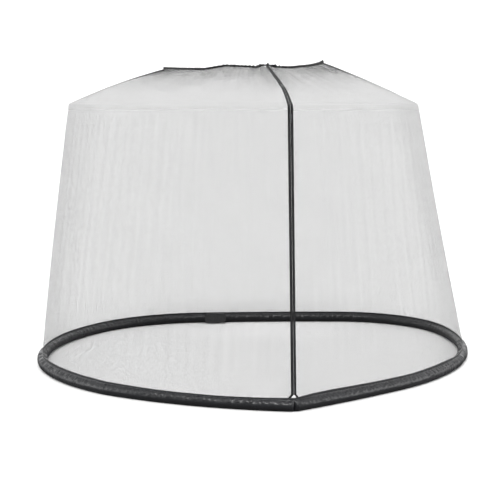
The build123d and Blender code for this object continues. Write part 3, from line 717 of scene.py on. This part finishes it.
def sleeve_skin(name, names, closed_ends, replaced):
    """The cloth round the water tube; a closed end is sewn shut, an open one meets its neighbour."""
    near, far = (-0.004 * is_closed for is_closed in closed_ends)
    foot, _, out_foot, _, along = columns(names, 0.0052, near, far)
    half, down = sleeve_section()
    girth = np.concatenate([down, down[-1] + lengths(half[::-1], False)[1:]])
    side = np.concatenate([half[:, 0], -half[-2::-1, 0]])
    height = np.concatenate([half[:, 1], half[-2::-1, 1]])
    down = np.concatenate([down, down[-2::-1]])
    crumpled = sleeve_crumpling(foot)[:, None]
    inner = np.arange(len(side)) >= len(half)
    lead = along[:, None] + 40.0 * inner[None, :]
    bulge = sleeve_wrinkles(lead, np.broadcast_to(down[None, :], lead.shape), crumpled)
    above_middle = height - POCKET_MIDDLE_Z
    spread = np.hypot(side, above_middle).clip(0.01)
    ruffle = seam_ruffle(along)[:, None] * smooth_step(0.058, 0.080, height)[None, :]
    close = np.ones(len(along))
    for end, is_closed in zip((along[0], along[-1]), closed_ends):
        if is_closed:
            reach = np.clip(abs(along - end) / 0.022, 0, 1)
            close *= 0.06 + 0.94 * np.sqrt(1 - (1 - reach) ** 2)
    side_all = (side[None, :] * (1 + bulge / spread)) * close[:, None] + ruffle
    z_all = height[None, :] + bulge * (above_middle / spread)[None, :] * (height > 0.006)[None, :]
    z_all += seam_lift(foot)[:, None] * smooth_step(0.064, FOOT_Z, height)[None, :]
    z_all = np.maximum(z_all, 0.0)
    plan = foot[:, None] + out_foot[:, None] * side_all[..., None]
    points = np.concatenate([plan, z_all[..., None]], -1)
    across = np.tile(np.append(girth, girth[-1] + 0.003), (len(along), 1))
    run = np.repeat(along[:, None], len(side) + 1, 1)
    piece = sheet_mesh(name, points, across, run, SLEEVE_CLOTH, ring=True)
    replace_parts(piece, *replaced)
    return piece


# ---- the zip ----------------------------------------------------------------------------------
WALL_LENGTH = SHOULDER_Z - FOOT_Z
ZIP_FOOT = around(*ARCS["door_left"][:3])
ZIP_SHOULDER = around(AXIS, SHOULDER_R, ZIP_TOP_ANGLE)
ZIP_OUT = np.array((math.cos(ZIP_TOP_ANGLE), math.sin(ZIP_TOP_ANGLE)))
ZIP_ACROSS = np.array((-math.sin(ZIP_TOP_ANGLE), math.cos(ZIP_TOP_ANGLE)))


def zip_on_wall(side, offset, depth, z):
    """A point beside the zip's middle line at a height. The teeth lie flat, facing straight out,
    and the tape's outer edge turns into the door's own plane."""
    centre, radius, first, last = ARCS["door_" + side]
    end = first if side == "left" else last
    sign = SIDES[side]
    foot = around(centre, radius + depth, end + sign * offset / radius)
    flat = ZIP_FOOT + depth[..., None] * ZIP_OUT + sign * offset[..., None] * ZIP_ACROSS
    foot += smooth_step(0.016, 0.008, offset)[..., None] * (flat - foot)
    top = around(AXIS, SHOULDER_R + depth, ZIP_TOP_ANGLE + sign * offset / SHOULDER_R)
    share = ((z - FOOT_Z) / WALL_LENGTH)[..., None]
    return np.concatenate([foot + share * (top - foot), z[..., None]], -1)


def zip_on_roof(side, offset, depth, rise):
    """The same on the roof, at a share of the way from the shoulder to the hem."""
    radius = SHOULDER_R - rise * (SHOULDER_R - RIM_R)
    return roof_frame(zip_angle(rise) + SIDES[side] * offset / radius, rise, depth)


def tape_section(inner, outer):
    """The tape's section as offset and depth: thin by the teeth, thicker where the netting's
    edge is folded over it and sewn down."""
    fold = outer - 0.0075
    return np.array([
        (inner, 0.0004), (fold - 0.0005, 0.0004), (fold + 0.0003, 0.0013), (outer - 0.0006, 0.0014),
        (outer, 0.0006), (outer, -0.0006), (outer - 0.0006, -0.0014), (fold + 0.0003, -0.0013),
        (fold - 0.0005, -0.0004), (inner, -0.0004)])


TAPE_EDGE = 0.0195              # the sewn-down edge laps a little over the netting
TAPE_SECTION = tape_section(0.0006, TAPE_EDGE)


def tape(name, place, stations, widths, nodes):
    """A tape carried along its stations by a place function of offset, depth and station."""
    rows = []
    for station, width in zip(stations, widths):
        offset = TAPE_SECTION[:, 0] * width
        rows.append(place(offset, TAPE_SECTION[:, 1], np.full(len(TAPE_SECTION), station)))
    girth = lengths(TAPE_SECTION, True)
    across = np.tile(girth, (len(stations), 1))
    along = np.repeat(stations[:, None], len(girth), 1)
    piece = sheet_mesh(name, np.array(rows), across, along, ZIP_TAPE, ring=True, caps=True)
    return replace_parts(piece, *nodes)


TAIL_TOP_Z = TAPE_FOOT_Z + 0.024
TAIL_FOOT_Z = TAPE_FOOT_Z - 0.004
TAIL_ASIDE = 0.019              # how far the tail's foot stands beside the zip's middle line
TAPE_JOIN = 0.0001              # half the gap between the door's tape and the fixed head's


def wall_tape(side):
    """The door's tape; below the zip's end its tail turns aside to the sleeve's seam."""
    stations = np.concatenate([np.linspace(TAIL_FOOT_Z, TAIL_TOP_Z, 8)[:-1],
                               np.linspace(TAIL_TOP_Z, HEAD_FOOT_Z - TAPE_JOIN, 130)])

    def place(offset, depth, z):
        aside = TAIL_ASIDE * smooth_step(TAIL_TOP_Z, TAIL_FOOT_Z, z)
        return zip_on_wall(side, offset + aside, depth, z)

    return tape("zip_tape_door_" + side, place, stations, np.ones(len(stations)), ["wall_tape_" + side])


def upper_tape(side):
    """The zip's fixed head and its run over the roof, rounded where it crosses the shoulder."""
    head = np.linspace(HEAD_FOOT_Z + TAPE_JOIN - SHOULDER_Z, -0.004, 14)
    roof = np.linspace(0.004, ROOF_LENGTH, 48)
    stations = np.concatenate([head, roof])

    def place(offset, depth, station):
        if station[0] < 0:
            return zip_on_wall(side, offset, depth, SHOULDER_Z + station)
        return zip_on_roof(side, offset, depth, station / ROOF_LENGTH)

    share = np.clip(stations / ROOF_LENGTH, 0, 1)
    widths = 1 + (RIM_TAPE_HALF / TAPE_EDGE - 1) * share
    return tape("zip_tape_upper_" + side, place, stations, widths,
                ["zip_head_tape_" + side, "roof_tape_" + side])


TOOTH_PITCH = 0.0030
TOOTH_OUTLINE = np.array([      # offset from the zip's middle, and distance along it
    (0.0040, -0.0008), (0.0023, -0.0007), (0.0016, -0.0013), (0.0007, -0.0012), (0.00056, 0.0),
    (0.0007, 0.0012), (0.0016, 0.0013), (0.0023, 0.0007), (0.0040, 0.0008)])


def teeth(name, side, place, length, replaced):
    """A row of moulded teeth, each a rounded head on a neck that grips the tape."""
    count = int(length / TOOTH_PITCH)
    start = 0.0012 + (0.0 if side == "left" else TOOTH_PITCH / 2)
    layers = [(-0.0013, 0.85), (-0.0010, 1.0), (0.0010, 1.0), (0.0013, 0.85)]
    middle = TOOTH_OUTLINE.mean(0)
    size = len(TOOTH_OUTLINE)
    corners = np.concatenate([np.c_[middle + (TOOTH_OUTLINE - middle) * scale, np.full(size, depth)]
                              for depth, scale in layers])
    points = []
    faces = []
    for index in range(count):
        first = index * len(corners)
        at = start + index * TOOTH_PITCH
        points.append(place(corners[:, 0], corners[:, 2], at + corners[:, 1]))
        for low in range(first, first + 3 * size, size):
            high = low + size
            faces += [(low + k, low + (k + 1) % size, high + (k + 1) % size, high + k) for k in range(size)]
        faces += [tuple(range(first, first + size)), tuple(range(first + 3 * size, first + 4 * size))]
    mesh = bpy.data.meshes.new(name)
    mesh.from_pydata(np.concatenate(points).tolist(), [], faces)
    piece = finish_mesh(name, mesh, ZIP_TEETH, solid=True)
    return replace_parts(piece, replaced)


def wall_teeth(side):
    span = (HEAD_FOOT_Z - 0.001 - TEETH_FOOT_Z) / WALL_LENGTH
    true_length = span * math.dist((*ZIP_FOOT, 0), (*ZIP_SHOULDER, WALL_LENGTH))

    def place(offset, depth, at):
        return zip_on_wall(side, offset, depth, TEETH_FOOT_Z + at / true_length * span * WALL_LENGTH)

    return teeth("zip_teeth_door_" + side, side, place, true_length, "wall_teeth_" + side)


def roof_teeth(side):
    def place(offset, depth, at):
        return zip_on_roof(side, offset, depth, at / ROOF_LENGTH)

    return teeth("zip_teeth_roof_" + side, side, place, ROOF_LENGTH - 0.004, "roof_teeth_" + side)


# ---- the valve's flap and the cord lock's spring ----------------------------------------------
def flap():
    """A hemmed flap that hangs from its upper edge and curls a little towards its foot."""
    joint = JOINTS["valve_flap_lift"]
    hinge = np.array(joint["pos_m"])
    axis = np.array(joint["axis"])
    points = vertices("valve_flap")
    fall = points.mean(0) - hinge
    fall -= axis * (fall @ axis)
    height = 2 * np.linalg.norm(fall)
    fall /= np.linalg.norm(fall)
    face = np.cross(axis, fall)
    half = abs((points - hinge) @ axis).max()
    u = np.linspace(-1, 1, 49)[:, None]
    v = np.linspace(0, 1, 25)[None, :]
    narrow = 1 - 0.16 * np.clip((v - 0.72) / 0.28, 0, 1) ** 2.5
    hem_rise = np.maximum(smooth_step(0.86, 0.9, abs(u)), smooth_step(0.86, 0.9, v))
    wave_out = 0.0025 * v * np.sin(5.0 * u + 0.8) + 0.0012 * smooth_noise(u * 3, v * 3, seed=31)
    rows = []
    for sign in (1, -1):
        lift = wave_out + sign * (0.0005 + 0.0006 * hem_rise)
        rows.append(hinge + axis * (u * half * narrow)[..., None] + fall * (v * height + 0 * u)[..., None]
                    + face * (lift + 0 * u)[..., None])
    cloth = np.concatenate([rows[0], rows[1][:, ::-1]], 1)
    across = np.tile(np.linspace(0, 2 * height, cloth.shape[1] + 1), (len(u), 1))
    along = np.repeat(u * half, cloth.shape[1] + 1, 1)
    piece = sheet_mesh("valve_flap_cloth", cloth, across, along, FLAP_CLOTH, ring=True, caps=True)
    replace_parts(piece, "valve_flap")
    return piece


def flap_strip():
    """The sewn strip between the sleeve's seam and the flap's upper edge."""
    centre, radius = ARCS["rear"][:2]
    points = vertices("valve_flap_tab")
    angles = direction(points, centre)
    reach = np.hypot(*(points[:, :2] - centre).T)
    low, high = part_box("valve_flap_tab")
    angle = np.linspace(angles.min(), angles.max(), 60)
    share = np.linspace(0, 1, 14)
    out = reach.max() + (reach.min() - reach.max()) * share
    dip = 0.0012 * np.sin(math.pi * share)
    rows = []
    for z, order in ((high.z, slice(None)), (low.z, slice(None, None, -1))):
        level = z - dip + 0.0006 * smooth_noise(angle[:, None] * radius / 0.02, share[None, :] * 2, seed=33)
        plan = around(centre, out[None, :] + 0 * angle[:, None], angle[:, None])
        rows.append(np.concatenate([plan, level[..., None]], -1)[:, order])
    cloth = np.concatenate(rows, 1)
    across = np.tile(np.linspace(0, 0.11, cloth.shape[1] + 1), (len(angle), 1))
    along = np.repeat((angle * radius)[:, None], cloth.shape[1] + 1, 1)
    piece = sheet_mesh("valve_flap_strip", cloth, across, along, FLAP_CLOTH, ring=True, caps=True)
    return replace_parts(piece, "valve_flap_tab")


def spring():
    low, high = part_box("cord_lock_spring")
    middle = np.array((low + high) / 2)
    wire = 0.00028
    turn = np.linspace(0, 4.5 * FULL_TURN, 190)
    rise = np.linspace(low.z + wire, high.z - wire, len(turn))
    path = np.c_[around(middle, 0.0039, turn), rise]
    piece = sweep("cord_lock_coil", path, wire, SPRING_WIRE, sides=8)
    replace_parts(piece, "cord_lock_spring")
    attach(piece, "cord_lock")
    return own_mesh(piece)


# ---- the pieces, on their bodies, except the doors' cloth, which is left on none --------------
FIXED_LENGTH = sum(arc_length(name) for name in FIXED)
HINGE_BEND = 0.04               # a length of sleeve beyond a door's hinge seam


def bends_with(piece):
    """Cloth of a door: its placement is baked into its mesh."""
    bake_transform(piece)


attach(roof_net(), "root")
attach(wall_net("wall_netting", FIXED, ends=(0.0, FIXED_LENGTH)), "root")
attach(hem(), "root")
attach(drawstring(), "root")
for cord_piece in knot():
    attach(cord_piece, "root")
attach(sleeve_skin("base_sleeve", FIXED, (False, False), ["sleeve_" + name for name in FIXED]), "root")

for side in SIDES:
    door = "door_" + side
    length = arc_length(door)
    by_tape = TAPE_HALF - 0.004
    trims = (by_tape, 0.0) if side == "left" else (0.0, by_tape)
    bends_with(wall_net("door_netting_" + side, [door], *trims, ends=(0.0, length)))
    bends_with(wall_tape(side))
    bends_with(wall_teeth(side))
    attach(upper_tape(side), "root")
    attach(roof_teeth(side), "root")
    closed_ends = (side == "left", side == "right")
    skin = sleeve_skin("door_sleeve_" + side, [door], closed_ends, ["sleeve_" + door])
    centre, radius, first, last = ARCS[door]
    hinge_end, inward = (last, 1) if side == "left" else (first, -1)
    hinge = around(centre, radius, hinge_end)
    beyond = around(centre, radius, hinge_end + inward * HINGE_BEND / radius)
    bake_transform(skin)

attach(flap(), "valve_flap")
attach(flap_strip(), "root")
spring()

CAD_FINISHES = {
    SLIDER_METAL: ["wall_slider", "wall_slider_pull", "roof_slider", "roof_slider_pull"],
    ZIP_TEETH: ["zip_end_box", "zip_end_pin"],
    BLACK_PLASTIC: ["cord_lock_barrel", "cord_lock_button", "filler_valve", "valve_cap"],
    TUBE_FILM: ["water_tube_ring", "water_tube_door_left", "water_tube_door_right"],
}
for finish, names in CAD_FINISHES.items():
    for name in names:
        NODES[name].data.materials.clear()
        NODES[name].data.materials.append(finish)


# ---- floor, light and camera ------------------------------------------------------------------
SKY_BASE = 0.42                 # light from all round
SKY_TOP = 0.9                   # and from above, by the square of the height
SKY_SIDES = 4.0                 # and from the left and right
SKY_BACK = 3.2                  # and from behind
SIDES_ON_FLOOR = 0.0547         # the share of the sides' light that a level floor receives
BACK_ON_FLOOR = 0.039
SUNS = (("key", 55, -8, 1.9, 22), ("back", 48, 165, 0.35, 40))    # elevation, turn, power and spread
PAPER = 0.8
FLOOR_REACH = 120.0
CAMERA_PLACE = (-0.1286, -10.2377, 2.1107)
CAMERA_DOWN = 6.532             # degrees below level
CAMERA_LENS = 99.65             # millimetres, for a sensor 36 mm wide


def whiteness():
    """The radiance of sunlit paper far from the object; the backdrop has the same."""
    suns = sum(power * math.sin(math.radians(height)) for _, height, _, power, _ in SUNS)
    sky = SKY_BASE + SKY_TOP / 2 + SKY_SIDES * SIDES_ON_FLOOR + SKY_BACK * BACK_ON_FLOOR
    return PAPER * (sky + suns / math.pi)


def studio():
    """White paper under and behind; the object itself is lit by a sky that is dim at the front."""
    corners = [(x * FLOOR_REACH, y * FLOOR_REACH, 0) for x, y in ((-1, -1), (1, -1), (1, 1), (-1, 1))]
    floor_mesh = bpy.data.meshes.new("floor")
    floor_mesh.from_pydata(corners, [], [(0, 1, 2, 3)])
    paper, tree, shader = new_material("floor paper", (PAPER, PAPER, PAPER), 1.0, Specular_IOR_Level=0.0)
    seen = node(tree, "LightPath").outputs["Is Camera Ray"]
    dim = node(tree, "BsdfDiffuse", {"Color": (0.2, 0.2, 0.2, 1)}).outputs[0]
    mixed = node(tree, "MixShader", {0: seen, 1: dim, 2: shader.outputs[0]})
    tree.links.new(mixed.outputs[0], tree.nodes["Material Output"].inputs["Surface"])
    floor_mesh.materials.append(paper)
    floor = bpy.data.objects.new("floor", floor_mesh)
    floor.location.z = -0.0005
    bpy.context.scene.collection.objects.link(floor)
    floor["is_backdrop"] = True

    world = bpy.data.worlds.new("studio")
    bpy.context.scene.world = world
    world.use_nodes = True
    tree = world.node_tree
    split = node(tree, "SeparateXYZ", {"Vector": node(tree, "TexCoord").outputs["Generated"]})
    x, y, z = split.outputs
    top = calc(tree, "MULTIPLY", calc(tree, "MULTIPLY", z, z), SKY_TOP)
    sides = calc(tree, "MULTIPLY", calc(tree, "POWER", calc(tree, "ABSOLUTE", x), 8.0), SKY_SIDES)
    back = calc(tree, "MULTIPLY", calc(tree, "POWER", calc(tree, "MAXIMUM", y, 0.0), 6.0), SKY_BACK)
    sky = calc(tree, "ADD", calc(tree, "ADD", top, sides), calc(tree, "ADD", back, SKY_BASE))
    seen = node(tree, "LightPath").outputs["Is Camera Ray"]
    strength = node(tree, "Mix", {0: seen, 2: sky, 3: whiteness()}, data_type="FLOAT").outputs[0]
    background = tree.nodes["Background"]
    background.inputs["Color"].default_value = (1, 1, 1, 1)
    tree.links.new(strength, background.inputs["Strength"])

    for name, height, turn, power, spread in SUNS:
        light = bpy.data.lights.new(name, "SUN")
        light.energy = power
        light.angle = math.radians(spread)
        lamp = bpy.data.objects.new(name, light)
        lamp.rotation_euler = (math.radians(90 - height), 0, math.radians(turn))
        bpy.context.scene.collection.objects.link(lamp)


def camera():
    made = bpy.data.cameras.new("camera")
    made.sensor_width = 36.0
    made.lens = CAMERA_LENS
    eye = bpy.data.objects.new("camera", made)
    eye.location = CAMERA_PLACE
    eye.rotation_euler = (math.radians(90 - CAMERA_DOWN), 0, 0)
    bpy.context.scene.collection.objects.link(eye)
    bpy.context.scene.camera = eye


studio()
camera()
bpy.context.scene.view_settings.view_transform = "Standard"

boxes = {"cad": CAD_BOX, "visual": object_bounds()}
{name: [list(corner) for corner in box] for name, box in boxes.items()}
